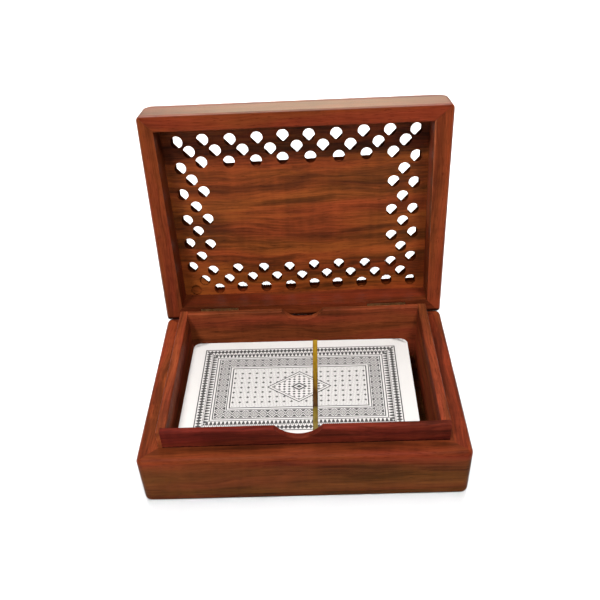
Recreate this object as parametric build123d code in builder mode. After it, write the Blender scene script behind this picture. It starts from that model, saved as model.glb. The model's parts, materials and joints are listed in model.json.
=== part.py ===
"""A hinged hardwood box for one deck of playing cards, standing open with its sealed deck inside.

Millimetres. The origin is the centre of the underside, +X to the right, +Y to the hinges, +Z up.
The base and its deck are drawn on Plane.XY. Everything on the lid is drawn as if the lid were
shut, on lid_plane, which is tipped back about the hinge pins by open_angle.
"""

import os
from math import cos, radians, sin, sqrt, tan

from build123d import *

os.makedirs("parts", exist_ok=True)

# ---------------------------------------------------------------- driving dimensions
# deck: one sealed bridge-size deck, lying with its long side along X
card_length = 88.0
card_width = 57.0
card_corner = 3.2
card_thickness = 0.3
stack_height = 15.7
film = 0.1
film_end = 7.0
tear_width = 1.9
tear_thickness = 0.1
tear_offset = 6.2
deck_turn = -0.6

# room round the deck inside the tray
gap_left = 2.0
gap_right = 5.2
gap_front = 1.5
gap_back = 8.1

# base
bottom_board = 3.0
base_wall_height = 18.0
base_side_wall = 7.4
base_end_wall = 6.6
corner_radius = 2.6
rim_rounding = 2.0
foot_rounding = 1.6
joint_groove = 0.2

# liner: four strips glued inside the base walls, standing above the rim
lip_height = 7.5
liner_side = 3.4
liner_end = 2.5
liner_rounding = 0.6
liner_lap = 1.9
scoop_width = 17.2
scoop_depth = 4.7
front_scoop_shift = -1.4

# lid
lid_side_clearance = 0.35
lid_front_clearance = 0.2
lid_back_clearance = 0.7
lid_lean = 0.65
lip_headroom = 5.0
lid_board = 6.0
lid_rounding = 4.0
lid_corner_radius = 2.0
board_corner_radius = 6.5
board_foot = 0.5
lid_rim_rounding = 0.7
rim_gap = 0.2
open_angle = 97.5

# pierced pattern: three rings of holes, staggered
ring_count = 3
hole_pitch = 10.4
ring_step = 4.35
hole_radius = 2.3
hole_round_depth = 0.8
diamond_half = 3.8
diamond_bevel = 0.3
hole_border = 2.2
hole_margin_side = 5.3
hole_margin_front = 6.25
hole_margin_back = 3.4
hole_wander = 0.25
hole_tilt = 1.0
blind_web = 1.2

# two brass butt hinges let into the back rims
hinge_inset = 1.2
hinge_length = 16.0
hinge_from_end = 15.0
leaf_width = 4.0
leaf_thickness = 0.6
barrel_radius = 1.15
pin_radius = 0.5
pin_clearance = 0.03
knuckle_gap = 0.1
pocket_clearance = 0.1
nail_head_radius = 0.85
nail_head_thickness = 0.35
nail_radius = 0.45
nail_length = 5.0
nail_clearance = 0.05
nail_spacing = 9.0

# ---------------------------------------------------------------- worked out from them
tray_length = card_length + 2 * (film + tear_thickness) + gap_left + gap_right
tray_width = card_width + 2 * (film + tear_thickness) + gap_front + gap_back
liner_length = tray_length + 2 * liner_side
liner_width = tray_width + 2 * liner_end
box_length = liner_length + 2 * base_side_wall
box_width = liner_width + 2 * base_end_wall

rim = bottom_board + base_wall_height
liner_top = rim + lip_height
half_gap = rim_gap / 2

lid_recess = lip_height + lip_headroom

deck_height = card_thickness + stack_height
deck_x = (gap_left - gap_right) / 2
deck_y = (gap_front - gap_back) / 2

hinge_y = box_width / 2 - hinge_inset
hinge_z = rim + half_gap
hinge_x = box_length / 2 - hinge_from_end - hinge_length / 2

# The lid's walls clear the lip: at the front also while the lid swings, at the sides where they lean.
lip_reach = hinge_y + liner_width / 2
lip_swing = sqrt(lip_reach**2 + (liner_top - hinge_z) ** 2) - lip_reach
lid_side_wall = base_side_wall - lid_lean - lid_side_clearance
lid_front_wall = base_end_wall - lip_swing - lid_front_clearance
lid_back_wall = base_end_wall - lid_back_clearance

# planes: one through the pins for each half of the hinge, and one on the lid's rim
base_hinge_plane = Plane(origin=(0, hinge_y, hinge_z), x_dir=(1, 0, 0), z_dir=(0, 0, 1))
lid_up = (0, sin(radians(open_angle)), cos(radians(open_angle)))
lid_hinge_plane = Plane(origin=(0, hinge_y, hinge_z), x_dir=(1, 0, 0), z_dir=lid_up)
lid_origin = lid_hinge_plane.from_local_coords((0, -hinge_y, half_gap))
lid_plane = Plane(origin=lid_origin, x_dir=(1, 0, 0), z_dir=lid_up)
lid_axis = Axis(lid_plane.origin, lid_plane.z_dir)
turn = radians(deck_turn)
deck_plane = Plane(
    origin=(deck_x, deck_y, bottom_board + tear_thickness + film),
    x_dir=(cos(turn), sin(turn), 0),
    z_dir=(0, 0, 1),
)


# ---------------------------------------------------------------- shared shapes
def section(plane, x):
    """The cross-section of a hinge half at x: its axes are towards the back and away from the rim."""
    return Plane(origin=plane.from_local_coords((x, 0, 0)), x_dir=plane.y_dir, z_dir=plane.x_dir)


def nail_points():
    """Where the hinge nails stand on a hinge plane: two through each leaf, clear of the barrel."""
    y = -(barrel_radius + leaf_width) / 2
    return [(s * hinge_x + d * nail_spacing / 2, y) for s in (-1, 1) for d in (-1, 1)]


def back_edge_cut(plane, side):
    """What is cut from a back wall's rim: the bevel that stops the lid, and the hinges' pockets.

    side is -1 for the base, whose wood is below the joint, and 1 for the lid.
    """
    reach = 2 * hinge_inset
    fall = reach * tan(radians(open_angle / 2))
    pocket = hinge_length + 2 * pocket_clearance
    depth = half_gap + leaf_thickness
    with BuildPart() as cut:
        with BuildSketch(section(plane, -box_length / 2)):
            with BuildLine():
                Polyline(
                    (0, side * half_gap),
                    (reach, side * half_gap),
                    (reach, side * (half_gap + fall)),
                    close=True,
                )
            make_face()
        extrude(amount=box_length)
        for hand in (-1, 1):
            with BuildSketch(section(plane, hand * hinge_x - pocket / 2)):
                Circle(barrel_radius + pocket_clearance)
                with Locations((-(leaf_width + pocket_clearance) / 2, side * depth / 2)):
                    Rectangle(leaf_width + pocket_clearance, depth)
            extrude(amount=pocket)
        with BuildSketch(plane):
            with Locations(*nail_points()):
                Circle(nail_radius + nail_clearance)
        extrude(amount=side * (half_gap + nail_length + nail_clearance))
    return cut


def corners(side_inset, front_inset, back_inset, lean=0.0):
    """The corners of a rectangle set into the box's outline, its sides leaning to the right."""
    half = box_length / 2 - side_inset
    front, back = -box_width / 2 + front_inset, box_width / 2 - back_inset
    return {
        "front_left": (-half - lean, front),
        "front_right": (half - lean, front),
        "back_right": (half + lean, back),
        "back_left": (-half + lean, back),
    }


def wall_outline(place, inner):
    """The plan of one wall between its mitres, carried a little past the box's outside."""
    first, last = {
        "front": ("front_left", "front_right"),
        "right": ("front_right", "back_right"),
        "back": ("back_right", "back_left"),
        "left": ("back_left", "front_left"),
    }[place]
    outer = corners(0, 0, 0)
    past = [
        tuple(2 * out - within for out, within in zip(outer[name], inner[name]))
        for name in (first, last)
    ]
    return [*past, inner[last], inner[first]]


def mitred_wall(ring, plane, height, outline):
    """One wall of a ring: what stands on the outline."""
    with BuildPart() as wall:
        add(ring.part)
        with BuildSketch(plane):
            with BuildLine():
                Polyline(*outline, close=True)
            make_face()
        extrude(amount=height, mode=Mode.INTERSECT)
    return wall


pieces = {}

# ---------------------------------------------------------------- base
with BuildPart() as base_bottom_board:
    with BuildSketch(Plane.XY):
        RectangleRounded(box_length, box_width, corner_radius)
    extrude(amount=bottom_board)
    fillet(base_bottom_board.faces().sort_by(Axis.Z)[0].edges(), foot_rounding)
    chamfer(base_bottom_board.faces().sort_by(Axis.Z)[-1].edges(), joint_groove)
pieces["base_bottom_board"] = base_bottom_board

base_back_cut = back_edge_cut(base_hinge_plane, -1)
with BuildPart() as base_ring:
    with BuildSketch(Plane.XY.offset(bottom_board)):
        RectangleRounded(box_length, box_width, corner_radius)
    extrude(amount=base_wall_height)
    fillet(base_ring.faces().sort_by(Axis.Z)[-1].edges(), rim_rounding)
    with BuildSketch(Plane.XY.offset(bottom_board)):
        Rectangle(liner_length, liner_width)
    extrude(amount=base_wall_height, mode=Mode.SUBTRACT)
    add(base_back_cut.part, mode=Mode.SUBTRACT)

base_inside = corners(base_side_wall, base_end_wall, base_end_wall)
for place in ("front", "back", "left", "right"):
    outline = wall_outline(place, base_inside)
    wall = mitred_wall(base_ring, Plane.XY.offset(bottom_board), base_wall_height, outline)
    pieces[f"base_{place}_wall"] = wall

# ---------------------------------------------------------------- liner
scoop_radius = (scoop_width**2 / 4 + scoop_depth**2) / (2 * scoop_depth)

# The front strip runs over part of the left strip's end and over the whole of the right strip's.
laps = {"front": (liner_lap, liner_side), "back": (0, 0)}


def end_strip(place, hand):
    """The plan of the front or the back strip, as a sketch on the bottom board."""
    left, right = laps[place]
    with BuildSketch(Plane.XY.offset(bottom_board)) as plan:
        with Locations(((right - left) / 2, hand * (tray_width + liner_end) / 2)):
            Rectangle(left + tray_length + right, liner_end)
    return plan


for place, hand in (("left", -1), ("right", 1)):
    with BuildPart() as strip:
        with BuildSketch(Plane.XY.offset(bottom_board)):
            with Locations((hand * (tray_length + liner_side) / 2, 0)):
                Rectangle(liner_side, liner_width)
        extrude(amount=liner_top - bottom_board)
        top_edges = strip.faces().sort_by(Axis.Z)[-1].edges().filter_by(Axis.Y)
        fillet(top_edges, liner_rounding)
        add(end_strip("front", -1).sketch)
        extrude(amount=liner_top - bottom_board, mode=Mode.SUBTRACT)
    pieces[f"liner_{place}"] = strip

for place, hand, shift in (("front", -1, front_scoop_shift), ("back", 1, 0)):
    with BuildPart() as strip:
        add(end_strip(place, hand).sketch)
        extrude(amount=liner_top - bottom_board)
        top_edges = strip.faces().sort_by(Axis.Z)[-1].edges().filter_by(Axis.X)
        fillet(top_edges, liner_rounding)
        with BuildSketch(Plane.XZ):
            with Locations((shift, liner_top - scoop_depth + scoop_radius)):
                Circle(scoop_radius)
        extrude(amount=box_width, both=True, mode=Mode.SUBTRACT)
    pieces[f"liner_{place}"] = strip

# ---------------------------------------------------------------- lid
lid_back_cut = back_edge_cut(lid_hinge_plane, 1)
lid_inside = corners(lid_side_wall, lid_front_wall, lid_back_wall, lid_lean)
with BuildPart() as lid_ring:
    with BuildSketch(lid_plane):
        RectangleRounded(box_length, box_width, lid_corner_radius)
    extrude(amount=lid_recess)
    fillet(lid_ring.faces().sort_by(lid_axis)[0].edges(), lid_rim_rounding)
    with BuildSketch(lid_plane):
        with BuildLine():
            Polyline(*lid_inside.values(), close=True)
        make_face()
    extrude(amount=lid_recess, mode=Mode.SUBTRACT)
    add(lid_back_cut.part, mode=Mode.SUBTRACT)

for place in ("front", "back", "left", "right"):
    outline = wall_outline(place, lid_inside)
    pieces[f"lid_{place}_wall"] = mitred_wall(lid_ring, lid_plane, lid_recess, outline)

# The holes' rings follow the recess, each one a step inside the last and with one hole fewer.
pattern_side = box_length / 2 - lid_side_wall - hole_margin_side
pattern_front = -box_width / 2 + lid_front_wall + hole_margin_front
pattern_back = box_width / 2 - lid_back_wall - hole_margin_back
holes_along = round(2 * pattern_side / hole_pitch) + 1
holes_across = round((pattern_back - pattern_front) / hole_pitch) + 1


def across_tilt(x, y):
    """A point of the pattern, tilted a little in the lid."""
    return x, y - x * tan(radians(hole_tilt))


def border(ring, beyond):
    """The straight outline that runs beyond one ring's outermost hole centres."""
    inset = ring * ring_step - beyond
    half, front, back = pattern_side - inset, pattern_front + inset, pattern_back - inset
    return [across_tilt(*point) for point in ((-half, front), (half, front), (half, back), (-half, back))]


hole_points = []
for ring in range(ring_count):
    along, across, inset = holes_along - ring, holes_across - ring, ring * ring_step
    for i in range(along):
        for j in range(across):
            if i in (0, along - 1) or j in (0, across - 1):
                x = (pattern_side - inset) * (2 * i / (along - 1) - 1)
                span = pattern_back - pattern_front - 2 * inset
                y = pattern_front + inset + span * j / (across - 1)
                mark = len(hole_points)
                x += hole_wander * sin(2.4 * mark)
                y += hole_wander * cos(4.1 * mark)
                hole_points.append(across_tilt(x, y))

# The hole in the back left corner is started from both faces and not pierced.
blind_point = hole_points[holes_across - 1]

# Each hole is round on the inside and a bevelled diamond on the outside.
diamond_side = diamond_half * sqrt(2)
mouth_side = diamond_side + 2 * diamond_bevel
with BuildPart() as diamond_cut:
    with BuildSketch(Plane.XY):
        Rectangle(diamond_side, diamond_side, rotation=45)
    extrude(amount=lid_board - hole_round_depth)
    with BuildSketch(Plane.XY.offset(lid_board - hole_round_depth - diamond_bevel)):
        Rectangle(diamond_side, diamond_side, rotation=45)
    with BuildSketch(Plane.XY.offset(lid_board - hole_round_depth)):
        Rectangle(mouth_side, mouth_side, rotation=45)
    loft()

# The diamonds keep between two straight lines, one outside and one inside the rings.
carved_depth = lid_recess + hole_round_depth
with BuildPart() as diamonds:
    with Locations(*[lid_plane.location * Location((x, y, carved_depth)) for x, y in hole_points]):
        add(diamond_cut.part)
    with BuildSketch(lid_plane.offset(carved_depth)):
        for outline, mode in (
            (border(0, hole_border), Mode.ADD),
            (border(ring_count - 1, -hole_border), Mode.SUBTRACT),
        ):
            with BuildLine():
                Polyline(*outline, close=True)
            make_face(mode=mode)
    extrude(amount=lid_board, mode=Mode.INTERSECT)
    with BuildSketch(lid_plane.offset(carved_depth)):
        with Locations(blind_point):
            Rectangle(2 * mouth_side, 2 * mouth_side, rotation=45)
    extrude(amount=blind_web, mode=Mode.SUBTRACT)

# The board's corners grow rounder from its straight foot up to its face.
with BuildPart() as board_body:
    with BuildSketch(lid_plane.offset(lid_recess + board_foot)):
        RectangleRounded(box_length, box_width, lid_corner_radius)
    with BuildSketch(lid_plane.offset(lid_recess + lid_board)):
        RectangleRounded(box_length, box_width, board_corner_radius)
    loft()
    fillet(board_body.faces().sort_by(lid_axis)[-1].edges(), lid_rounding)

with BuildPart() as lid_pierced_panel:
    with BuildSketch(lid_plane.offset(lid_recess)):
        RectangleRounded(box_length, box_width, lid_corner_radius)
    extrude(amount=board_foot)
    chamfer(lid_pierced_panel.faces().sort_by(lid_axis)[0].edges(), joint_groove)
    add(board_body.part)
    with BuildSketch(lid_plane.offset(lid_recess)):
        with Locations(*hole_points):
            Circle(hole_radius)
    extrude(amount=hole_round_depth, mode=Mode.SUBTRACT)
    add(diamonds.part, mode=Mode.SUBTRACT)
pieces["lid_pierced_panel"] = lid_pierced_panel

# ---------------------------------------------------------------- hinges
knuckle = hinge_length / 3
base_spans = [(-hinge_length / 2, -knuckle / 2), (knuckle / 2, hinge_length / 2)]
lid_spans = [(-knuckle / 2 + knuckle_gap, knuckle / 2 - knuckle_gap)]


def hinge_leaf(plane, side, x, own_spans, other_spans):
    """One leaf with its knuckles, cut clear of the other leaf's, bored for the pin and the nails."""
    with BuildPart() as leaf:
        with BuildSketch(section(plane, x - hinge_length / 2)):
            with Locations((-leaf_width / 2, side * (half_gap + leaf_thickness / 2))):
                Rectangle(leaf_width, leaf_thickness)
        extrude(amount=hinge_length)
        for start, end in other_spans:
            with BuildSketch(section(plane, x + start - knuckle_gap)):
                Circle(barrel_radius + knuckle_gap)
            extrude(amount=end - start + 2 * knuckle_gap, mode=Mode.SUBTRACT)
        for start, end in own_spans:
            with BuildSketch(section(plane, x + start)):
                Circle(barrel_radius)
            extrude(amount=end - start)
        with BuildSketch(section(plane, x - hinge_length / 2)):
            Circle(pin_radius + pin_clearance)
        extrude(amount=hinge_length, mode=Mode.SUBTRACT)
        with BuildSketch(plane.offset(side * half_gap)):
            with Locations(*nail_points()):
                Circle(nail_head_radius + nail_clearance)
        extrude(amount=side * nail_head_thickness, mode=Mode.SUBTRACT)
        with BuildSketch(plane.offset(side * half_gap)):
            with Locations(*nail_points()):
                Circle(nail_radius + nail_clearance)
        extrude(amount=side * leaf_thickness, mode=Mode.SUBTRACT)
    return leaf


def hinge_nails(plane, side):
    """The nails of both hinges on one side of the joint, heads flush with the leaves."""
    with BuildPart() as nails:
        with BuildSketch(plane.offset(side * half_gap)):
            with Locations(*nail_points()):
                Circle(nail_radius)
        extrude(amount=side * nail_length)
        with BuildSketch(plane.offset(side * half_gap)):
            with Locations(*nail_points()):
                Circle(nail_head_radius)
        extrude(amount=side * nail_head_thickness)
    return nails


for place, hand in (("left", -1), ("right", 1)):
    x = hand * hinge_x
    pieces[f"hinge_{place}_base_leaf"] = hinge_leaf(
        base_hinge_plane, -1, x, base_spans, lid_spans
    )
    pieces[f"hinge_{place}_lid_leaf"] = hinge_leaf(lid_hinge_plane, 1, x, lid_spans, base_spans)
    with BuildPart() as hinge_pin:
        with BuildSketch(section(base_hinge_plane, x - hinge_length / 2)):
            Circle(pin_radius)
        extrude(amount=hinge_length)
    pieces[f"hinge_{place}_pin"] = hinge_pin

pieces["base_hinge_nails"] = hinge_nails(base_hinge_plane, -1)
pieces["lid_hinge_nails"] = hinge_nails(lid_hinge_plane, 1)

# ---------------------------------------------------------------- deck
with BuildPart() as card_stack:
    with BuildSketch(deck_plane):
        RectangleRounded(card_length, card_width, card_corner)
    extrude(amount=stack_height)
pieces["card_stack"] = card_stack

with BuildPart() as top_card:
    with BuildSketch(deck_plane.offset(stack_height)):
        RectangleRounded(card_length, card_width, card_corner)
    extrude(amount=card_thickness)
pieces["top_card"] = top_card

with BuildPart() as film_shell:
    with BuildSketch(deck_plane.offset(-film)):
        RectangleRounded(card_length + 2 * film, card_width + 2 * film, card_corner + film)
    extrude(amount=deck_height + 2 * film)
    with BuildSketch(deck_plane):
        RectangleRounded(card_length, card_width, card_corner)
    extrude(amount=deck_height, mode=Mode.SUBTRACT)

# The film is a sleeve along the deck, with a folded cap at each end.
sleeve_length = card_length - 2 * film_end
with BuildPart() as film_sleeve:
    add(film_shell.part)
    with BuildSketch(deck_plane.offset(-film)):
        Rectangle(sleeve_length, card_width + 2 * film)
    extrude(amount=deck_height + 2 * film, mode=Mode.INTERSECT)
pieces["film_sleeve"] = film_sleeve

with BuildPart() as film_end_folds:
    add(film_shell.part)
    with BuildSketch(deck_plane.offset(-film)):
        Rectangle(sleeve_length, card_width + 2 * film)
    extrude(amount=deck_height + 2 * film, mode=Mode.SUBTRACT)
    flap_top, flap_foot = card_width / 2 - card_corner, card_width / 2 - deck_height / 2
    for hand in (-1, 1):
        end = Plane(
            origin=deck_plane.from_local_coords((hand * (card_length / 2 + film), 0, deck_height)),
            x_dir=deck_plane.y_dir * hand,
            z_dir=deck_plane.x_dir * hand,
        )
        with BuildSketch(end):
            with BuildLine():
                Polyline(
                    (-flap_top, 0),
                    (flap_top, 0),
                    (flap_foot, -deck_height / 2),
                    (-flap_foot, -deck_height / 2),
                    close=True,
                )
            make_face()
        extrude(amount=film)
pieces["film_end_folds"] = film_end_folds

tear_plane = Plane(
    origin=deck_plane.from_local_coords((tear_offset - tear_width / 2, 0, deck_height / 2)),
    x_dir=deck_plane.y_dir,
    z_dir=deck_plane.x_dir,
)
with BuildPart() as tear_strip:
    with BuildSketch(tear_plane):
        wrapped_width, wrapped_height = card_width + 2 * film, deck_height + 2 * film
        Rectangle(wrapped_width + 2 * tear_thickness, wrapped_height + 2 * tear_thickness)
        Rectangle(wrapped_width, wrapped_height, mode=Mode.SUBTRACT)
    extrude(amount=tear_width)
pieces["tear_strip"] = tear_strip

# ---------------------------------------------------------------- files
for label, piece in pieces.items():
    piece.part.label = label
    export_step(piece.part, f"parts/{label}.step")

print(f"box {box_length:.1f} x {box_width:.1f}, shut height {rim + rim_gap + lid_recess + lid_board:.1f}")
print(f"{holes_along} x {holes_across} holes in the outer ring, {len(hole_points) - 1} pierced in all")
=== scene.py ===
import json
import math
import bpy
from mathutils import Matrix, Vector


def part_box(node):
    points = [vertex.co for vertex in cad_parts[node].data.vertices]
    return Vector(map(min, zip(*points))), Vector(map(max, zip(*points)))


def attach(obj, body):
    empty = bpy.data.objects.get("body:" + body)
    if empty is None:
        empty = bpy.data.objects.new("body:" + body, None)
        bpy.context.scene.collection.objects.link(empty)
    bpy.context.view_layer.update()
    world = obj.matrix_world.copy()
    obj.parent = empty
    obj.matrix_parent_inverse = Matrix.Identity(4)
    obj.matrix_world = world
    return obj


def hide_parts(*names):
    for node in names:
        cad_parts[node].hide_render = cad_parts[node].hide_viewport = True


bl_info = {
    "name": "Card box with a sealed deck",
    "version": (1, 0, 0),
    "blender": (4, 5, 0),
    "location": "View3D > Sidebar > Card Box",
    "description": "Dresses the hinged card box: rosewood, brass hinges, wrapped deck and stage",
    "category": "Object",
}

from typing import NamedTuple

import bmesh
import bpy
import numpy as np
from mathutils import Matrix, Vector

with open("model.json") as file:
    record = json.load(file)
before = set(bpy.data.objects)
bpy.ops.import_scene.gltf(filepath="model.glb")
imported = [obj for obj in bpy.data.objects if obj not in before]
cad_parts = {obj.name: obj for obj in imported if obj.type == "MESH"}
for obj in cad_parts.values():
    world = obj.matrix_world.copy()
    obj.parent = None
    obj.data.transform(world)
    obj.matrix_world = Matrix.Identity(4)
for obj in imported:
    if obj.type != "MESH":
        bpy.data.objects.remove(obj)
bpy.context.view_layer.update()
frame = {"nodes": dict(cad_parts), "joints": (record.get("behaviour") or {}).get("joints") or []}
MM = 0.001

# ------------------------------------------------------------------ sizes, in millimetres
# What the frame says.
HINGE = next(joint for joint in frame["joints"] if joint["name"] == "lid_hinge")
HINGE_AT = Vector(HINGE["pos_m"])
LID_OPEN = math.radians(HINGE["range_deg"][1])

BOX = [np.array(corner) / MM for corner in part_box("base_bottom_board")]
CARD = [np.array(corner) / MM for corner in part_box("top_card")]
STACK = [np.array(corner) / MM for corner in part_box("card_stack")]
LENGTH, WIDTH = (BOX[1] - BOX[0])[:2]
DECK_AT = (CARD[0] + CARD[1]) / 2
STACK_FOOT, STACK_TOP = STACK[0][2], STACK[1][2]
BASE_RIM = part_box("base_front_wall")[1][2] / MM

# What it doesn't say straight out, because the lid stands open and the deck lies turned.
LID_HEIGHT = 18.7
LID_FACE = BASE_RIM + LID_HEIGHT  # on the shut box
CARD_LENGTH, CARD_WIDTH = 88.0, 57.0
CARD_TURN = math.radians(-0.6)


# ------------------------------------------------------------------ settings
class CardBoxWood(bpy.types.PropertyGroup):
    """Colours and finish of the varnished rosewood."""

    rim: bpy.props.FloatVectorProperty(
        name="Rims and walls", description="Body colour of the walls of base and lid",
        subtype="COLOR", size=3, min=0, max=1, default=(0.118, 0.0222, 0.0070),
    )
    outside: bpy.props.FloatVectorProperty(
        name="Outside", description="Duller colour of the base's outside, below the rim",
        subtype="COLOR", size=3, min=0, max=1, default=(0.082, 0.0240, 0.0062),
    )
    board: bpy.props.FloatVectorProperty(
        name="Pierced board", description="Body colour of the lid's board",
        subtype="COLOR", size=3, min=0, max=1, default=(0.140, 0.0305, 0.0062),
    )
    liner: bpy.props.FloatVectorProperty(
        name="Liner", description="Body colour of the side and back strips",
        subtype="COLOR", size=3, min=0, max=1, default=(0.150, 0.0310, 0.0108),
    )
    liner_front: bpy.props.FloatVectorProperty(
        name="Front strip", description="Body colour of the front strip, a darker red",
        subtype="COLOR", size=3, min=0, max=1, default=(0.090, 0.0128, 0.0066),
    )
    # Painted light: the lid's outside is mixed a little towards this paler colour, for the light
    # that falls on it.
    paler_where_lit: bpy.props.FloatVectorProperty(
        name="Faded", description="Paler colour that the lid's outside has begun to fade to",
        subtype="COLOR", size=3, min=0, max=1, default=(0.250, 0.125, 0.046),
    )
    dark: bpy.props.FloatVectorProperty(
        name="Dark streak", description="What the darkest figure makes of the body colour",
        size=3, min=0, max=2, default=(0.36, 0.42, 0.46),
    )
    light: bpy.props.FloatVectorProperty(
        name="Light streak", description="What the palest figure makes of the body colour",
        size=3, min=0, max=3, default=(1.42, 1.44, 1.46),
    )
    roughness: bpy.props.FloatProperty(
        name="Roughness", description="Roughness of the varnish",
        subtype="FACTOR", min=0, max=1, default=0.42,
    )
    shine: bpy.props.FloatProperty(
        name="Shine", description="Strength of the varnish's reflections",
        subtype="FACTOR", min=0, max=1, default=0.02,
    )
    lid_shine: bpy.props.FloatProperty(
        name="Shine of the lid's outside", description="The same, on the outside of the lid",
        subtype="FACTOR", min=0, max=1, default=0.42,
    )
    edge: bpy.props.FloatProperty(
        name="Worn edge", description="Width of the softened arris on every sharp edge",
        unit="LENGTH", min=0, max=0.002, default=0.00022,
    )


class CardBoxDeck(bpy.types.PropertyGroup):
    """Colours and print of the wrapped deck."""

    paper: bpy.props.FloatVectorProperty(
        name="Paper", description="Coated card stock",
        subtype="COLOR", size=3, min=0, max=1, default=(0.50, 0.482, 0.464),
    )
    ink: bpy.props.FloatVectorProperty(
        name="Ink", description="The one printing ink",
        subtype="COLOR", size=3, min=0, max=1, default=(0.030, 0.028, 0.028),
    )
    border_x: bpy.props.FloatProperty(
        name="Border at the ends", description="White margin at the card's short sides",
        unit="LENGTH", default=0.0054,
    )
    border_y: bpy.props.FloatProperty(
        name="Border along the sides", description="White margin at the card's long sides",
        unit="LENGTH", default=0.0046,
    )
    cards: bpy.props.IntProperty(
        name="Cards", description="Cards in the stack", min=10, max=80, default=54,
    )


class CardBoxStage(bpy.types.PropertyGroup):
    """The floor and the lights."""

    floor: bpy.props.FloatVectorProperty(
        name="Floor", description="Colour of the floor",
        subtype="COLOR", size=3, min=0, max=1, default=(0.31, 0.31, 0.31),
    )
    right: bpy.props.FloatProperty(
        name="Right light", description="Power of the light in front, right",
        unit="POWER", default=15.0,
    )
    left: bpy.props.FloatProperty(
        name="Left light", description="Power of the light in front, left",
        unit="POWER", default=19.0,
    )
    back: bpy.props.FloatProperty(
        name="Back light", description="Power of the wide light behind",
        unit="POWER", default=14.0,
    )
    wash: bpy.props.FloatProperty(
        name="Floor wash", description="Power of the low light that whitens the floor behind",
        unit="POWER", default=66.0,
    )
    top: bpy.props.FloatProperty(
        name="Floor top light", description="Power of the light overhead that whitens the floor",
        unit="POWER", default=13.5,
    )
    edge: bpy.props.FloatProperty(
        name="Lid edge light",
        description="Power of the warm light that glances off the lid's top edge",
        unit="POWER", default=6.6,
    )
    backdrop: bpy.props.FloatProperty(
        name="Backdrop", description="Power of the low light at the back",
        unit="POWER", default=3.6,
    )
    sky: bpy.props.FloatProperty(
        name="Surroundings", description="Strength of the white surroundings", default=0.06,
    )


# ------------------------------------------------------------------ node helpers
MIX_INPUTS = (0, 6, 7)  # a Mix node's factor and two colours
MIX_COLOUR = 2  # and its mixed colour, among its outputs


def feed(tree, socket, value):
    """Links a field or a socket to an input, or sets a plain value on it."""
    if isinstance(value, Field):
        value = value.socket
    if isinstance(value, bpy.types.NodeSocket):
        tree.links.new(value, socket)
    elif socket.type == "RGBA":
        socket.default_value = (*value, 1.0)
    else:
        socket.default_value = value


class Field:
    """A number that varies over the surface, built up with plain arithmetic."""

    def __init__(self, tree, socket):
        self.tree, self.socket = tree, socket

    def _math(self, operation, *values, clamp=False):
        node = self.tree.nodes.new("ShaderNodeMath")
        node.operation, node.use_clamp = operation, clamp
        for socket, value in zip(node.inputs, values):
            feed(self.tree, socket, value)
        return Field(self.tree, node.outputs[0])

    def __add__(self, other):
        return self._math("ADD", self, other)

    def __sub__(self, other):
        return self._math("SUBTRACT", self, other)

    def __mul__(self, other):
        return self._math("MULTIPLY", self, other)

    def __truediv__(self, other):
        return self._math("DIVIDE", self, other)

    def below(self, level):
        """How far the field lies below a level."""
        return self._math("SUBTRACT", level, self)

    def inverted(self):
        """A mask turned round: 1 where it was 0, and 0 where it was 1."""
        return self.below(1.0)

    def away(self):
        """The distance from nought."""
        return self._math("ABSOLUTE", self)

    def swing(self, period):
        """A triangle wave: 0 at each whole period, up to half a period midway between."""
        return self._math("PINGPONG", self, period / 2)

    def top(self, other):
        """The higher of the two."""
        return self._math("MAXIMUM", self, other)

    def low(self, other):
        """The lower of the two."""
        return self._math("MINIMUM", self, other)

    def under(self, limit):
        """1 where the field is under the limit, else 0."""
        return self._math("LESS_THAN", self, limit)

    def over(self, limit):
        """1 where the field is over the limit, else 0."""
        return self._math("GREATER_THAN", self, limit)

    def between(self, low, high):
        """1 where the field is from low to high, else 0."""
        return self.under(high) - self.under(low)

    def kept(self):
        """The field held between 0 and 1."""
        return self._math("ADD", self, 0.0, clamp=True)


def highest(first, *others):
    """The highest of several fields."""
    for other in others:
        first = first.top(other)
    return first


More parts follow.
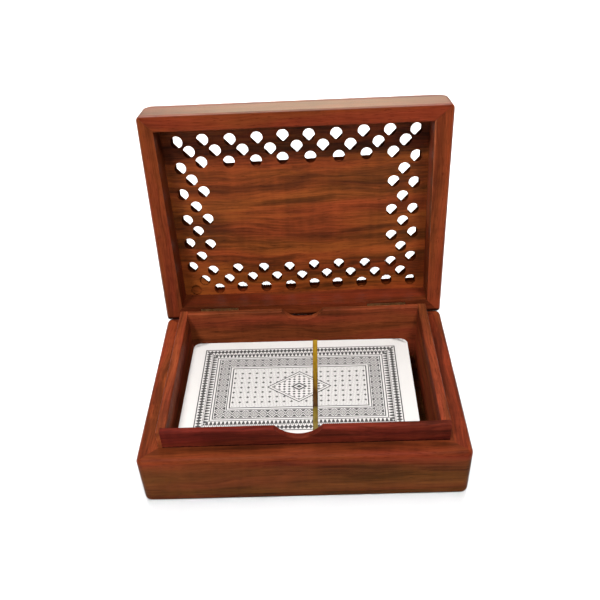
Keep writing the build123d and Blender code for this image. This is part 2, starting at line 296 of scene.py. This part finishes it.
class Paint:
    """A new material, with short ways to add nodes to it."""

    def __init__(self, name):
        self.material = bpy.data.materials.new(name)
        self.material.use_nodes = True
        self.tree = self.material.node_tree
        self.shader = self.tree.nodes["Principled BSDF"]
        self.shut = None  # x, y and z on the shut box, once rosewood() has worked them out

    def finish(self, **inputs):
        """Sets or links the shader's own inputs and returns the material."""
        for name, value in inputs.items():
            feed(self.tree, self.shader.inputs[name.replace("_", " ")], value)
        return self.material

    def laid(self, name):
        """What one of the shader's inputs is linked to so far."""
        return self.shader.inputs[name].links[0].from_socket

    def node(self, kind, **inputs):
        """Adds a node and sets or links its inputs by name."""
        node = self.tree.nodes.new("ShaderNode" + kind)
        for name, value in inputs.items():
            feed(self.tree, node.inputs[name], value)
        return node

    def vector_math(self, operation, *values):
        """The outputs of arithmetic on vectors."""
        node = self.node("VectorMath")
        node.operation = operation
        for socket, value in zip(node.inputs, values):
            feed(self.tree, socket, value)
        return node.outputs

    def place(self, centre=(0, 0, 0), turn=(0, 0, 0)):
        """Object coordinates in millimetres, turned and then moved."""
        coordinate = self.node("TexCoord").outputs["Object"]
        scale = (1 / MM,) * 3
        mapping = self.node(
            "Mapping", Vector=coordinate, Location=centre, Rotation=turn, Scale=scale
        )
        return mapping.outputs["Vector"]

    def axes(self, vector):
        """The vector's three numbers as fields."""
        return [self.field(socket) for socket in self.node("SeparateXYZ", Vector=vector).outputs]

    def vector(self, x, y, z):
        """Three fields as a vector."""
        return self.node("CombineXYZ", X=x, Y=y, Z=z).outputs["Vector"]

    def field(self, socket):
        """A socket's number, or a colour's grey, as a field."""
        return Field(self.tree, socket)

    def noise_node(self, vector, scale, detail=2.0, rough=0.5, offset=(0, 0, 0)):
        """Smooth noise on a vector that is scaled, one number for all axes or one for each."""
        scale = scale if isinstance(scale, tuple) else (scale,) * 3
        at = self.vector_math("MULTIPLY_ADD", vector, scale, offset)["Vector"]
        return self.node("TexNoise", Vector=at, Scale=1.0, Detail=detail, Roughness=rough)

    def noise(self, vector, scale, **settings):
        """Smooth noise from 0 to 1."""
        return self.field(self.noise_node(vector, scale, **settings).outputs["Fac"])

    def bump(self, height, strength, distance):
        """The normal that a height gives, its full rise being distance, in millimetres."""
        node = self.node("Bump", Height=height, Strength=strength, Distance=distance * MM)
        return node.outputs["Normal"]

    def ramp(self, factor, *stops):
        """A colour ramp through (place, colour) stops."""
        node = self.node("ValToRGB", Fac=factor)
        elements = node.color_ramp.elements
        while len(elements) < len(stops):
            elements.new(1.0)
        for element, (place, colour) in zip(elements, stops):
            element.position = place
            element.color = (*colour, 1.0)
        return node.outputs["Color"]

    def greys(self, factor, *stops):
        """A ramp through (place, grey) stops."""
        return self.ramp(factor, *((place, (grey,) * 3) for place, grey in stops))

    def blend(self, kind, factor, first, second):
        """Mixes two colours."""
        node = self.node("Mix")
        node.data_type, node.blend_type = "RGBA", kind
        for index, value in zip(MIX_INPUTS, (factor, first, second)):
            feed(self.tree, node.inputs[index], value)
        return node.outputs[MIX_COLOUR]

    def tinted(self, colour, where, shade):
        """The colour, multiplied by a shade in so far as the field where is 1."""
        return self.blend("MIX", where, colour, self.blend("MULTIPLY", 1.0, colour, shade))


# ------------------------------------------------------------------ mesh helpers
MERGE_WITHIN = 1e-6  # metres
FLAT_ANGLE = math.radians(0.5)
SMOOTH_ANGLE = math.radians(30.0)
ARRIS_ANGLE = math.radians(35.0)


def placed(name, data):
    """A new object at the origin, in the scene."""
    thing = bpy.data.objects.new(name, data)
    bpy.context.scene.collection.objects.link(thing)
    return thing


def dress(thing, material):
    """Gives a CAD node, or a new piece, one material in place of its own."""
    thing.data.materials.clear()
    thing.data.materials.append(material)


def softened(node, body, material):
    """A CAD node's own mesh, joined up and with its arrises worn round, standing for that node."""
    work = bmesh.new()
    work.from_mesh(frame["nodes"][node].data)
    bmesh.ops.remove_doubles(work, verts=work.verts, dist=MERGE_WITHIN)
    bmesh.ops.dissolve_limit(work, angle_limit=FLAT_ANGLE, verts=work.verts, edges=work.edges)
    mesh = bpy.data.meshes.new(node + "_worn")
    work.to_mesh(mesh)
    work.free()
    mesh.polygons.foreach_set("use_smooth", np.ones(len(mesh.polygons), bool))
    mesh.set_sharp_from_angle(angle=SMOOTH_ANGLE)
    mesh.update()
    piece = placed(node + "_worn", mesh)
    arris = piece.modifiers.new("arris", "BEVEL")
    arris.width = bpy.context.scene.card_box_wood.edge
    arris.segments = 2
    arris.limit_method = "ANGLE"
    arris.angle_limit = ARRIS_ANGLE
    dress(piece, material)
    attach(piece, body)
    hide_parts(node)
    return piece


# ------------------------------------------------------------------ the wood
class Stick(NamedTuple):
    """A wooden piece: its CAD node, the axis its grain follows on the shut box, and its figure.

    seed picks its figure, and contrast strengthens its figure. tone brightens or darkens its body
    colour, as painted light and shade for how much light falls on that piece.
    """

    node: str
    along: str
    seed: float
    tone: float = 1.0
    contrast: float = 1.0


# A tone above 1 is painted light on that piece, and one below 1 painted shade.
BASE_WALLS = (
    Stick("base_front_wall", "X", 1.0, tone=0.78),
    Stick("base_back_wall", "X", 2.0),
    Stick("base_left_wall", "Y", 3.0, tone=1.20),
    Stick("base_right_wall", "Y", 4.0, tone=1.15),
    Stick("base_bottom_board", "X", 5.0),
)
LINER_FRONT = Stick("liner_front", "X", 6.0)
LINER_REST = (
    Stick("liner_back", "X", 7.0),
    Stick("liner_left", "Y", 8.0, tone=1.08),
    Stick("liner_right", "Y", 9.0, tone=1.22),
)
LID_WALLS = (
    Stick("lid_front_wall", "X", 11.0, contrast=0.6),
    Stick("lid_back_wall", "X", 12.0, tone=0.80, contrast=0.8),
    Stick("lid_left_wall", "Y", 13.0, contrast=0.8),
    Stick("lid_right_wall", "Y", 14.0, tone=1.16, contrast=0.8),
)
PIERCED_BOARD = Stick("lid_pierced_panel", "X", 15.0, contrast=1.5)
BOARD_SHINE = 0.08


def drawn(along, across, **settings):
    """Noise drawn out along the grain: how fast it changes per millimetre along it and across."""
    return {"scale": (along, across, across), **settings}


# Streaks of figure, bent by a swirl, with each layer's share in the whole.
SWIRL, SWIRL_REACH = drawn(0.020, 0.05), (3.0, 9.0, 9.0)
BROAD, BROAD_SHARE = drawn(0.012, 0.21, detail=4.0, rough=0.62), 0.58
FINE, FINE_SHARE = drawn(0.035, 1.3, detail=3.0, rough=0.65), 0.24
BLOTCH, BLOTCH_SHARE = drawn(0.05, 0.07), 0.10
BARS, BARS_SHARE = drawn(0.30, 0.05), 0.08
FIGURE_STOPS = (0.34, 0.44, 0.52, 0.64)  # darkest, dusky, plain and palest
HUE = drawn(0.016, 0.13, offset=(40.0, 7.0, 19.0))
HUE_STOPS = ((0.38, (1.09, 0.90, 1.04)), (0.62, (0.99, 1.09, 0.96)))  # from redder to greener
# Fibres and pores.
FIBRE, FIBRE_GREYS = drawn(0.13, 5.5, rough=0.6), ((0.32, 0.80), (0.64, 1.14))
PORE, PORE_GREYS = drawn(0.35, 4.2, detail=1.0), ((0.63, 0.0), (0.71, 1.0))
PORE_DEPTH, PORE_SHADE = 0.8, (0.45, 0.45, 0.45)
# Wear, and painted light and shade. The base's outside turns dull over DULL_SPREAD below a ragged
# edge.
RAGGED, RAGGED_HEIGHT = drawn(0.08, 0.5, detail=3.0), 5.0
DULL_OVER_RIM, DULL_SPREAD = 0.6, 4.0
# How far in the lid's outside reaches, and the share of painted light, a paler colour, that it
# takes.
OUTSIDE_DEPTH, PAINTED_LIGHT_SHARE = 0.8, 0.15
# A painted shadow in the joint at the back, where the rims of lid and base meet.
JOINT_DEPTH, JOINT_HALF, JOINT_SHADOW = 2.3, 1.3, (0.16, 0.16, 0.20)
# A painted shadow along the front strip's foot.
FOOT_SHADOW_TINT = (0.30, 0.42, 0.50)
HOLE_SHADE = (0.30, 0.26, 0.26)
# Painted light on the inner face of the lid's right wall.
INSIDE_PAINTED_LIGHT = (1.45, 1.95, 2.4)


def shut_place(paint, lid):
    """Where a point lies on the shut box, in millimetres.

    The lid stands open in the frame, so a point on the lid turns about the hinge pins.
    """
    if not lid:
        return paint.place()
    turn = Matrix.Rotation(LID_OPEN, 3, "X")
    return paint.place(centre=(HINGE_AT - turn @ HINGE_AT) / MM, turn=(LID_OPEN, 0, 0))


def plank_spot(seed):
    """Where in the plank a piece is cut from: three sines of its seed, in millimetres."""
    return 137.0 * math.sin(seed * 2.1), 61.0 * math.cos(seed * 1.7), 47.0 * math.sin(seed * 3.3)


def figure(paint, point, contrast):
    """What the figure makes of the body colour: dark and pale streaks, then a drift of hue."""
    wood = bpy.context.scene.card_box_wood
    swirl = paint.noise_node(point, **SWIRL).outputs["Color"]
    bent = paint.vector_math("MULTIPLY_ADD", swirl, SWIRL_REACH, point)["Vector"]
    level = (
        paint.noise(bent, **BROAD) * BROAD_SHARE + paint.noise(bent, **FINE) * FINE_SHARE
        + paint.noise(point, **BLOTCH) * BLOTCH_SHARE + paint.noise(bent, **BARS) * BARS_SHARE
    )
    level = (level - 0.5) * contrast + 0.5
    dusky = [0.45 * channel + 0.45 for channel in wood.dark]
    tones = (wood.dark, dusky, (1.0, 1.0, 1.0), wood.light)
    streaks = paint.ramp(level, *zip(FIGURE_STOPS, tones))
    return streaks, paint.ramp(paint.noise(bent, **HUE), *HUE_STOPS)


def rosewood(name, stick, body, lid=False, dusty=None, shine=None):
    """Varnished rosewood, a solid figure so that faces and end grain agree.

    All of it is noise drawn out along the grain: broad streaks a few millimetres across, fine
    streaks, fibres and pores. Rounder noise adds blotches, and noise drawn out across the grain
    adds faint bars. body is the body colour, and dusty a duller one for the outside, which comes
    in below the rounded rim. The lid's outside shines more, and is painted a little paler as
    painted light.
    """
    wood = bpy.context.scene.card_box_wood
    # A piece's tone is painted light and shade: it scales the body colour by how much light falls
    # on that piece.
    body = [channel * stick.tone for channel in body]
    shine = wood.shine if shine is None else shine
    paint = Paint(name)
    paint.shut = x, y, z = paint.axes(shut_place(paint, lid))
    if lid:
        outside = (x.away() - LENGTH / 2).top(y.away() - WIDTH / 2).top(z - LID_FACE)
        outside = ((outside + OUTSIDE_DEPTH) * 2.0).kept()
        shine = outside * (wood.lid_shine - shine) + shine
        # The lid's outside is painted a little paler: painted light.
        body = paint.blend("MIX", outside * PAINTED_LIGHT_SHARE, body, wood.paler_where_lit)

    grain = (y, x, z) if stick.along == "Y" else (x, y, z)
    point = paint.vector(*(axis + move for axis, move in zip(grain, plank_spot(stick.seed))))

    if dusty is not None:
        height = z + paint.noise(point, **RAGGED) * RAGGED_HEIGHT
        low = height.below(BASE_RIM + DULL_OVER_RIM) / DULL_SPREAD
        body = paint.blend("MIX", low.kept(), body, dusty)
    fibre = paint.noise(point, **FIBRE)
    colour = body
    for tones in (*figure(paint, point, stick.contrast), paint.greys(fibre, *FIBRE_GREYS)):
        colour = paint.blend("MULTIPLY", 1.0, colour, tones)
    pores = paint.field(paint.greys(paint.noise(point, **PORE), *PORE_GREYS)) * PORE_DEPTH
    colour = paint.tinted(colour, pores, PORE_SHADE)

    # A painted shadow darkens the joint at the back, where the rims of lid and base meet.
    behind = (y - (WIDTH / 2 - JOINT_DEPTH)) * 1.5
    joint = behind.low((z - BASE_RIM - 0.1).away().below(JOINT_HALF))
    colour = paint.tinted(colour, joint.kept(), JOINT_SHADOW)
    paint.finish(
        Base_Color=colour, Roughness=fibre * 0.16 + (wood.roughness - 0.05),
        Specular_IOR_Level=shine, Normal=paint.bump(fibre * 0.5 - pores, 0.35, 0.08),
    )
    return paint


def bored(paint):
    """Darkens the walls of the holes, where the surface turns from the board, and leaves them bare
    of shine.

    The turn is the surface's own normal against the board's, and only inside the lid's recess.
    """
    board_faces = (0.0, math.sin(LID_OPEN), math.cos(LID_OPEN))
    most_turned, margin = 0.6, 4.5
    normal = paint.node("TexCoord").outputs["Normal"]
    turned = paint.field(paint.vector_math("DOT_PRODUCT", normal, board_faces)["Value"])
    x, y, _ = paint.shut
    wall = turned.away().under(most_turned)
    wall = wall * x.away().under(LENGTH / 2 - margin) * y.away().under(WIDTH / 2 - margin)
    paint.finish(
        Base_Color=paint.tinted(paint.laid("Base Color"), wall, HOLE_SHADE),
        Specular_IOR_Level=paint.field(paint.laid("Specular IOR Level")) * wall.inverted(),
    )


def painted_foot_shadow(paint):
    """A painted shadow: a dark, ragged line along the front strip's outer face, where it meets the
    base's rim.
    """
    _, y, z = paint.shut
    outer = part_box("liner_front")[0][1] / MM + 0.1
    shadow_line = (z - paint.noise(paint.place(), 0.9) * 0.9).under(BASE_RIM - 0.05) * y.under(outer)
    paint.finish(Base_Color=paint.tinted(paint.laid("Base Color"), shadow_line, FOOT_SHADOW_TINT))


def painted_light_inside(paint):
    """Paints light on the inner face of the lid's right wall, so that it is paler than the rest of
    it.

    The face leans, so all within 0.75 mm of its innermost edge counts as the face.
    """
    x, _, _ = paint.shut
    inner = x.under(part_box("lid_right_wall")[0][0] / MM + 0.75)
    paint.finish(Base_Color=paint.tinted(paint.laid("Base Color"), inner, INSIDE_PAINTED_LIGHT))


class CARDBOX_OT_base(bpy.types.Operator):
    """Wears the edges of the base's walls, bottom board and liner, and varnishes them."""

    bl_idname = "card_box.base"
    bl_label = "Base and liner"

    def execute(self, context):
        wood = context.scene.card_box_wood
        for stick in BASE_WALLS:
            look = rosewood(stick.node + "_rosewood", stick, wood.rim, dusty=wood.outside)
            softened(stick.node, "base", look.material)
        look = rosewood("liner_front_rosewood", LINER_FRONT, wood.liner_front)
        # A painted shadow along the front strip's foot.
        painted_foot_shadow(look)
        softened(LINER_FRONT.node, "base", look.material)
        for stick in LINER_REST:
            look = rosewood(stick.node + "_rosewood", stick, wood.liner)
            softened(stick.node, "base", look.material)
        return {"FINISHED"}


class CARDBOX_OT_lid_frame(bpy.types.Operator):
    """Wears the edges of the lid's four walls, and varnishes them."""

    bl_idname = "card_box.lid_frame"
    bl_label = "Lid walls"

    def execute(self, context):
        for stick in LID_WALLS:
            body = context.scene.card_box_wood.rim
            look = rosewood(stick.node + "_rosewood", stick, body, lid=True)
            # The right wall's inner face gets painted light.
            if stick.node == "lid_right_wall":
                painted_light_inside(look)
            softened(stick.node, "lid", look.material)
        return {"FINISHED"}


class CARDBOX_OT_lid_panel(bpy.types.Operator):
    """Wears the edges of the lid's pierced board and its holes, and varnishes it."""

    bl_idname = "card_box.lid_panel"
    bl_label = "Pierced board"

    def execute(self, context):
        body = context.scene.card_box_wood.board
        look = rosewood("panel_rosewood", PIERCED_BOARD, body, lid=True, shine=BOARD_SHINE)
        bored(look)
        softened(PIERCED_BOARD.node, "lid", look.material)
        return {"FINISHED"}


# ------------------------------------------------------------------ the hinges
def brass():
    """Satin brass with faint rolling marks along it and tarnish in patches."""
    paint = Paint("hinge_brass")
    place = paint.place()
    marks = paint.noise(place, (0.6, 9.0, 9.0), detail=3.0)
    patches = paint.noise(place, 0.5, detail=3.0)
    tarnished, bright = (0.40, 0.20, 0.08), (0.66, 0.38, 0.17)
    return paint.finish(
        Base_Color=paint.ramp(patches, (0.35, tarnished), (0.65, bright)), Metallic=1.0,
        Roughness=marks * 0.2 + 0.34, Normal=paint.bump(marks, 0.2, 0.03),
    )


class CARDBOX_OT_hinges(bpy.types.Operator):
    """Finishes the two hinges and their nails in satin brass."""

    bl_idname = "card_box.hinges"
    bl_label = "Hinges"

    def execute(self, context):
        metal = brass()
        for name, node in frame["nodes"].items():
            if name.startswith("hinge_") or name.endswith("_nails"):
                dress(node, metal)
        return {"FINISHED"}


# ------------------------------------------------------------------ the deck
# The printed back, in millimetres. A band is (from, to), in from the edge of the print.
RULES = ((0.0, 0.42), (5.40, 5.75), (6.40, 6.80), (11.20, 11.55), (12.20, 12.65))
MITRE_BAND = (0.4, 5.4)
INNER_BAND = (7.05, 10.95)
FIELD_FROM = 13.0
LOZENGE_REACH = 9.0


def outer_frame(edge, along):
    """Tall diamonds, a line of dots, then a row of triangles.

    A diamond is where the way along and the distance from its middle line add up to little. A
    triangle is where the way along is over a share of the distance from its point.
    """
    pitch = 1.5
    middle, steep, reach = 1.68, 1.35, 1.16
    diamonds = (along.swing(pitch) * steep + (edge - middle).away()).under(reach)
    dots = along.swing(pitch / 2).under(0.22) * edge.between(2.88, 3.22)
    point, slope, row = 3.35, 0.28, (3.4, 5.2)
    triangles = ((edge - point) * slope - along.swing(pitch)).under(0.0) * edge.between(*row)
    return highest(diamonds, dots, triangles)


def inner_frame(edge, along):
    """Linked diamonds on an inked ground, with a smaller one and an eye inside each."""
    pitch, middle, steep = 3.3, 9.0, 1.18
    ring = along.swing(pitch) * steep + (edge - middle).away()
    outline, smaller, eye, ground = (1.52, 2.10), (0.75, 1.12), 0.42, 2.60
    inked = (ring.between(*outline), ring.between(*smaller), ring.under(eye), ring.over(ground))
    return highest(*inked) * edge.between(*INNER_BAND)


def dotted_field(edge, u, v):
    """A tone of the finest dots, with a small cross at every knot of a wider net."""
    fine, net = 0.56, 2.8
    dots = (u.swing(fine) + v.swing(fine)).under(0.165)
    across, up = u.swing(net), v.swing(net)
    crosses = across.under(0.20).top(up.under(0.20)) * across.top(up).under(0.55)
    return dots.top(crosses) * edge.over(FIELD_FROM)


def lozenge(far, u, v):
    """An outline of two lines, a filling of small diamonds, and a ringed eye."""
    outlines = far.between(8.5, LOZENGE_REACH).top(far.between(7.4, 7.75))
    lace = (u.swing(1.9) * 0.75 + v.swing(1.42)).under(0.52) * far.between(2.6, 7.2)
    return highest(outlines, lace, far.between(1.5, 2.3), far.under(0.85))


def card_print():
    """The printed back: two frames of small geometric figures round a dotted field and a lozenge.

    u and v are millimetres from the card's middle, and w is the height. edge is how far inside the
    print a point is, and along is the way along the nearest side, so that the frames turn the
    corners with a mitre. far is the distance from the middle by way of the lozenge's sides.
    """
    deck = bpy.context.scene.card_box_deck
    paint = Paint("card_back_print")
    spin = Matrix.Rotation(-CARD_TURN, 3, "Z")
    centre = -(spin @ Vector((DECK_AT[0], DECK_AT[1], 0.0)))
    place = paint.place(centre=centre, turn=(0, 0, -CARD_TURN))
    u, v, w = paint.axes(place)
    du = u.away().below(CARD_LENGTH / 2 - deck.border_x / MM)
    dv = v.away().below(CARD_WIDTH / 2 - deck.border_y / MM)
    edge = du.low(dv)
    side = (dv - du).under(0.0)
    along = u * side + v * side.inverted()
    far = u.away() * 0.72 + v.away()

    mitre = (du - dv).away().under(0.3) * edge.between(*MITRE_BAND)
    ink = highest(
        *(edge.between(*rule) for rule in RULES),
        outer_frame(edge, along), mitre * 0.5, inner_frame(edge, along),
        dotted_field(edge, u, v) * far.under(LOZENGE_REACH).inverted(), lozenge(far, u, v),
    )
    upper_face = w.over(STACK_TOP + 0.2)
    ink = ink * edge.over(0.0) * upper_face

    strength = paint.noise(place, 0.9, detail=3.0) * 0.15 + 0.90
    duller = [channel * 0.985 for channel in deck.paper]
    paper = paint.ramp(paint.noise(place, 0.03, detail=1.0), (0.3, duller), (0.7, deck.paper))
    linen = paint.noise(place, 4.0, detail=1.0)
    return paint.finish(
        Base_Color=paint.blend("MIX", ink * strength, paper, deck.ink), Roughness=0.45,
        Specular_IOR_Level=0.15, Normal=paint.bump(linen, 0.08, 0.03),
    )


def card_edges():
    """Cut card edges: fine level lines of painted shade in the gaps, one for each card, the paper a
    little uneven in tone.
    """
    deck = bpy.context.scene.card_box_deck
    paint = Paint("card_edges")
    place = paint.place()
    thickness = (STACK_TOP - STACK_FOOT) / deck.cards
    height = paint.axes(place)[2] + paint.noise(place, (0.1, 0.1, 0.0)) * 0.1
    level = height.swing(thickness)
    # Painted shade in the gap between each two cards.
    gap_shade = level.under(thickness * 0.12)
    duller = [channel * 0.86 for channel in deck.paper]
    paper = paint.ramp(paint.noise(place, (0.02, 0.02, 3.5)), (0.3, duller), (0.7, deck.paper))
    dark = [channel * 0.42 for channel in deck.paper]
    return paint.finish(
        Base_Color=paint.blend("MIX", gap_shade * 0.6, paper, dark), Roughness=0.6,
        Normal=paint.bump(level, 0.5, 0.1),
    )


class CARDBOX_OT_deck(bpy.types.Operator):
    """Prints the top card and shows the edges of the cards under it."""

    bl_idname = "card_box.deck"
    bl_label = "Deck"

    def execute(self, context):
        dress(frame["nodes"]["top_card"], card_print())
        dress(frame["nodes"]["card_stack"], card_edges())
        return {"FINISHED"}


# ------------------------------------------------------------------ the film
STRIP_SPAN = 80.0  # the strip's colours are laid along y, over this span about nought
# The tear strip's gold, with painted reflections in bands along it, one of them dark.
STRIP_COLOURS_AND_REFLECTIONS = (
    (0.20, (0.105, 0.070, 0.010)),
    (0.325, (0.120, 0.080, 0.010)),
    (0.345, (0.034, 0.014, 0.003)),
    (0.45, (0.048, 0.020, 0.004)),
    (0.60, (0.15, 0.085, 0.008)),
    (0.86, (0.24, 0.140, 0.012)),
    (0.95, (0.12, 0.080, 0.040)),
)


def clear_film(name, thin, thick):
    """Clear wrapping film: nearly all of it is seen through, and faint creases catch the light.

    thin and thick are how much of the film is seen away from a crease and on one.
    """
    paint = Paint(name)
    crease = paint.noise(paint.place(), (0.16, 0.08, 0.3), detail=3.0, rough=0.4)
    return paint.finish(
        Base_Color=(0.75, 0.75, 0.75), Roughness=0.12, Specular_IOR_Level=0.6,
        Alpha=paint.greys(crease, (0.50, thin), (0.75, thick)),
        Normal=paint.bump(crease, 0.35, 0.4),
    )


def gold_film():
    """The tear strip: yellow film, with painted reflections that make it browner in one band across
    it and mottle it by ripples.
    """
    paint = Paint("gold_film")
    place = paint.place()
    ripple = paint.noise(place, (0.9, 0.22, 0.3))
    along = paint.axes(place)[1] + ripple * 6.0
    colour = paint.ramp((along + STRIP_SPAN / 2) / STRIP_SPAN, *STRIP_COLOURS_AND_REFLECTIONS)
    reflection_mottle = paint.greys(ripple, (0.36, 0.80), (0.64, 1.25))
    return paint.finish(
        Base_Color=paint.blend("MULTIPLY", 1.0, colour, reflection_mottle), Roughness=0.25,
        Specular_IOR_Level=0.3, Normal=paint.bump(ripple, 0.3, 0.2),
    )


class CARDBOX_OT_film(bpy.types.Operator):
    """Wraps the deck in clear film with a gold tear strip."""

    bl_idname = "card_box.film"
    bl_label = "Film and tear strip"

    def execute(self, context):
        dress(frame["nodes"]["film_sleeve"], clear_film("clear_film", 0.004, 0.02))
        dress(frame["nodes"]["film_end_folds"], clear_film("folded_film", 0.003, 0.01))
        dress(frame["nodes"]["tear_strip"], gold_film())
        return {"FINISHED"}


# ------------------------------------------------------------------ the stage, in metres
FLOOR_RADIUS, FLOOR_CORNERS = 0.95, 96
SURROUND_RADIUS = 2.9
WHITE = (1.0, 1.0, 1.0)
WARM = (1.0, 0.80, 0.42)


def lay_floor(colour):
    """A disc: its corners stand at the cosine and the sine of even turns, times the radius."""
    turns = np.linspace(0, 2 * math.pi, FLOOR_CORNERS, endpoint=False)
    corners = np.stack([np.cos(turns), np.sin(turns), 0 * turns], axis=1) * FLOOR_RADIUS
    mesh = bpy.data.meshes.new("floor")
    mesh.from_pydata(corners.tolist(), [], [list(range(FLOOR_CORNERS))])
    floor = placed("floor", mesh)
    paint = Paint("pale_floor")
    duller = [channel * 0.995 for channel in colour]
    mottled = paint.ramp(paint.noise(paint.place(), 0.04), (0.3, duller), (0.7, colour))
    dress(floor, paint.finish(Base_Color=mottled, Roughness=0.7))
    return floor


def hang_surround():
    """A white ball round the stage, for the eye alone: it gives no light, shade or reflection."""
    work = bmesh.new()
    bmesh.ops.create_uvsphere(work, u_segments=48, v_segments=24, radius=SURROUND_RADIUS)
    mesh = bpy.data.meshes.new("surround")
    work.to_mesh(mesh)
    work.free()
    surround = placed("surround", mesh)
    paint = Paint("white_surround")
    dress(surround, paint.finish(
        Base_Color=(0.0, 0.0, 0.0), Emission_Color=WHITE, Emission_Strength=1.0
    ))
    surround.visible_diffuse = surround.visible_glossy = surround.visible_shadow = False


def area_light(name, power, at, towards, size, colour=WHITE):
    """A square area light, size metres wide, aimed at a point."""
    data = bpy.data.lights.new(name, "AREA")
    data.shape, data.size, data.energy, data.color = "SQUARE", size, power, colour
    light = placed(name, data)
    light.location = at
    light.rotation_euler = (Vector(towards) - Vector(at)).to_track_quat("-Z", "Y").to_euler()
    return light


def only_on(thing, name, *lights):
    """Lets some lights fall on one object alone, by way of a collection that has this name."""
    receivers = bpy.data.collections.new(name)
    receivers.objects.link(thing)
    for light in lights:
        light.light_linking.receiver_collection = receivers


def hang_lights(stage, floor):
    """Two lights in front, two behind, two for the floor alone and one for the lid's front wall."""
    tray, behind = (0, 0.02, 0.03), (0, 0.1, 0)
    area_light("right light", stage.right, (0.27, -0.54, 1.15), tray, size=0.25)
    area_light("left light", stage.left, (-0.40, -0.62, 1.10), tray, size=0.25)
    area_light("back light", stage.back, (0.0, 0.95, 1.40), (0, 0.2, 0), size=1.0)
    area_light("backdrop", stage.backdrop, (0.0, 1.7, 0.30), (0, 0, 0.10), size=1.0)
    wash = area_light("floor wash", stage.wash, (0.0, 1.2, 0.60), behind, size=1.0)
    top = area_light("floor top light", stage.top, (0.0, 0.15, 1.50), behind, size=0.38)
    only_on(floor, "floor only", wash, top)
    edge = area_light(
        "lid edge light", stage.edge, (0.0, 1.39, 0.78), (0, 0.05, 0.11), size=0.6, colour=WARM
    )
    only_on(bpy.data.objects["lid_front_wall_worn"], "lid edge only", edge)


def set_camera():
    """The camera stands where the photograph was taken from.

    Its place is in millimetres. It looks along +Y, tipped by pitch, then turned by yaw, and
    rolled by roll. The lens and the shift come from a focal length and a centre in pixels of a
    600 pixel square picture.
    """
    frame_px, focal_px, centre_y = 600.0, 724.849, 395.121
    at = Vector((6.681, -213.549, 203.365)) * MM
    pitch, yaw, roll = (math.radians(angle) for angle in (-41.893, 2.224, -3.194))
    forward = Vector(
        (-math.sin(yaw) * math.cos(pitch), math.cos(yaw) * math.cos(pitch), math.sin(pitch))
    )
    right = Vector((math.cos(yaw), math.sin(yaw), 0.0))
    up = right.cross(forward)
    right, up = (
        right * math.cos(roll) + up * math.sin(roll),
        up * math.cos(roll) - right * math.sin(roll),
    )
    data = bpy.data.cameras.new("camera")
    data.sensor_width = 36.0
    data.lens = focal_px / frame_px * data.sensor_width
    data.shift_x = 0.0
    data.shift_y = (centre_y - frame_px / 2) / frame_px
    data.clip_start, data.clip_end = 0.01, 20.0
    camera = placed("camera", data)
    turn = Matrix((right, up, -forward)).transposed()
    camera.matrix_world = Matrix.Translation(at) @ turn.to_4x4()
    bpy.context.scene.camera = camera


class CARDBOX_OT_stage(bpy.types.Operator):
    """Lays the floor, hangs the lights and sets the camera at the photograph's angle."""

    bl_idname = "card_box.stage"
    bl_label = "Stage"

    def execute(self, context):
        scene, stage = context.scene, context.scene.card_box_stage
        floor = lay_floor(stage.floor)
        hang_surround()
        world = bpy.data.worlds.new("white surroundings")
        world.use_nodes = True
        background = world.node_tree.nodes["Background"]
        background.inputs["Color"].default_value = (*WHITE, 1.0)
        background.inputs["Strength"].default_value = stage.sky
        scene.world = world
        hang_lights(stage, floor)
        set_camera()
        scene.view_settings.view_transform = "Standard"
        return {"FINISHED"}


# ------------------------------------------------------------------ the add-on
class CARDBOX_PT_panel(bpy.types.Panel):
    """Lists the settings and the steps that dress the card box."""

    bl_idname = "CARDBOX_PT_panel"
    bl_label = "Card box"
    bl_space_type = "VIEW_3D"
    bl_region_type = "UI"
    bl_category = "Card Box"

    def draw(self, context):
        for group in GROUPS:
            values = getattr(context.scene, group)
            column = self.layout.column()
            for key in values.__annotations__:
                column.prop(values, key)
        for step in STEPS:
            self.layout.operator(step.bl_idname)


GROUPS = {
    "card_box_wood": CardBoxWood,
    "card_box_deck": CardBoxDeck,
    "card_box_stage": CardBoxStage,
}
STEPS = (
    CARDBOX_OT_base,
    CARDBOX_OT_lid_frame,
    CARDBOX_OT_lid_panel,
    CARDBOX_OT_hinges,
    CARDBOX_OT_deck,
    CARDBOX_OT_film,
    CARDBOX_OT_stage,
)
CLASSES = (*GROUPS.values(), *STEPS, CARDBOX_PT_panel)


def register():
    for each in CLASSES:
        bpy.utils.register_class(each)
    for name, group in GROUPS.items():
        setattr(bpy.types.Scene, name, bpy.props.PointerProperty(type=group))


def unregister():
    for name in GROUPS:
        delattr(bpy.types.Scene, name)
    for each in reversed(CLASSES):
        bpy.utils.unregister_class(each)


def main():
    register()
    for step in STEPS:
        area, name = step.bl_idname.split(".")
        getattr(getattr(bpy.ops, area), name)()


if __name__ == "__main__":
    main()
